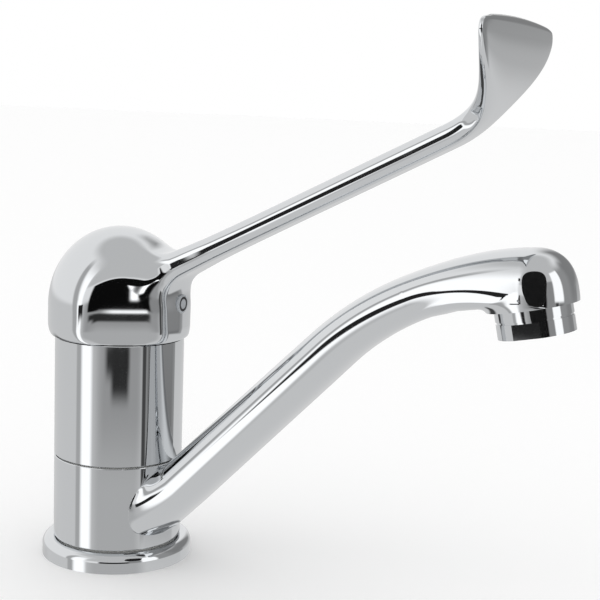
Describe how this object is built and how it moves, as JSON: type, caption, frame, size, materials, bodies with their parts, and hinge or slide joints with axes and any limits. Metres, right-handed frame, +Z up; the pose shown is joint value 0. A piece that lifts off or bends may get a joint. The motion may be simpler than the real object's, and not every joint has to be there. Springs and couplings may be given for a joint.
{
  "type": "elbow lever tap",
  "caption": "Single-lever deck mixer tap: round body, dome handle with a long elbow lever and flared paddle, swivelling arched spout with screwed aerator.",
  "frame": {"origin": "centre of the round underside, on the deck surface and on the axis that spout and lever turn about", "axes": "+Z up out of the deck, +X towards the spout's nose and the lever's paddle at rest, +Y to the left of the spout"},
  "size_m": [0.191, 0.0768, 0.1928],
  "materials": {
    "polished_chrome": "polished",
    "black_rubber": "matte",
    "white_acetal": "satin",
    "grey_acetal": "satin",
    "white_ceramic": "gloss",
    "turned_brass": "satin",
    "stainless_steel": "brushed",
    "index_plastic": "gloss"
  },
  "bodies": {
    "root": {"base_flange": "polished_chrome", "base_seal": "black_rubber", "lower_glide_ring": "white_acetal", "upper_glide_ring": "white_acetal", "lower_o_ring": "black_rubber", "upper_o_ring": "black_rubber", "mixer_body": "polished_chrome", "cartridge_base": "grey_acetal", "port_seals": "black_rubber", "fixed_disc": "white_ceramic", "cartridge_housing": "grey_acetal", "cartridge_nut": "turned_brass"},
    "spout": {"spout": "polished_chrome", "aerator_collar": "polished_chrome", "aerator_washer": "black_rubber", "aerator_insert": "white_acetal", "aerator_mesh": "stainless_steel"},
    "turner": {"stem_turner": "white_acetal", "stem_pin": "stainless_steel"},
    "disc_slide": {"disc_carrier": "white_acetal", "moving_disc": "white_ceramic"},
    "lever": {"cartridge_stem": "turned_brass", "lever_handle": "polished_chrome", "grub_screw": "stainless_steel", "index_plug": "index_plastic"}
  },
  "joints": [
    {"name": "spout_swivel", "type": "hinge", "parent": "root", "child": "spout", "pos_m": [0, 0, 0.02], "axis": [0, 0, 1], "range_deg": [-70, 70]},
    {"name": "lever_turn", "type": "hinge", "parent": "root", "child": "turner", "pos_m": [0, 0, 0.0748], "axis": [0, 0, 1], "range_deg": [-50, 50]},
    {"name": "lever_lift", "type": "hinge", "parent": "turner", "child": "lever", "pos_m": [0, 0, 0.0748], "axis": [0, -1, 0], "range_deg": [0, 25]},
    {"name": "disc_travel", "type": "slide", "parent": "turner", "child": "disc_slide", "axis": [1, 0, 0], "range_m": [0, 0.004]}
  ],
  "couplings": [
    {"joint": "disc_travel", "follows": "lever_lift", "m_per_rad": 0.009}
  ]
}
